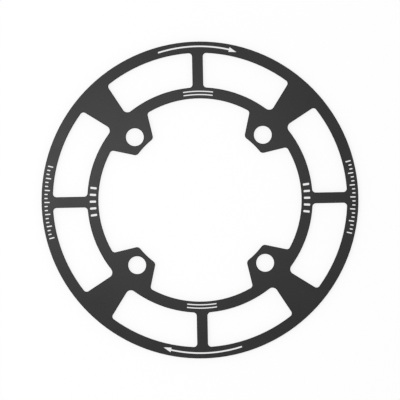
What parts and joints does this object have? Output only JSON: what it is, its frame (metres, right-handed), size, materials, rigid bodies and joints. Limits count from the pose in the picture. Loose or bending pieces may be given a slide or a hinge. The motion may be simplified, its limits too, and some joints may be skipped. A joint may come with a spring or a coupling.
{
  "type": "chainring guard",
  "caption": "Flat black ring plate that bolts to a crank outside the chainring to guard teeth and chain, with bolt tabs around an open centre and windows between its spokes.",
  "frame": {"origin": "centre of the bolt circle, on the plate's back face", "axes": "+Z along the bolt circle's axis, out of the marked front face; a narrow spoke runs along each of +X, +Y, -X and -Y, and the bolt tabs stand on the diagonals"},
  "size_m": [0.182, 0.182, 0.003],
  "materials": {
    "black_anodised": "satin black anodised over a fine blasted surface",
    "white_mark": "matt white print"
  },
  "bodies": {
    "root": {"guard_plate": "black_anodised"}
  },
  "joints": []
}
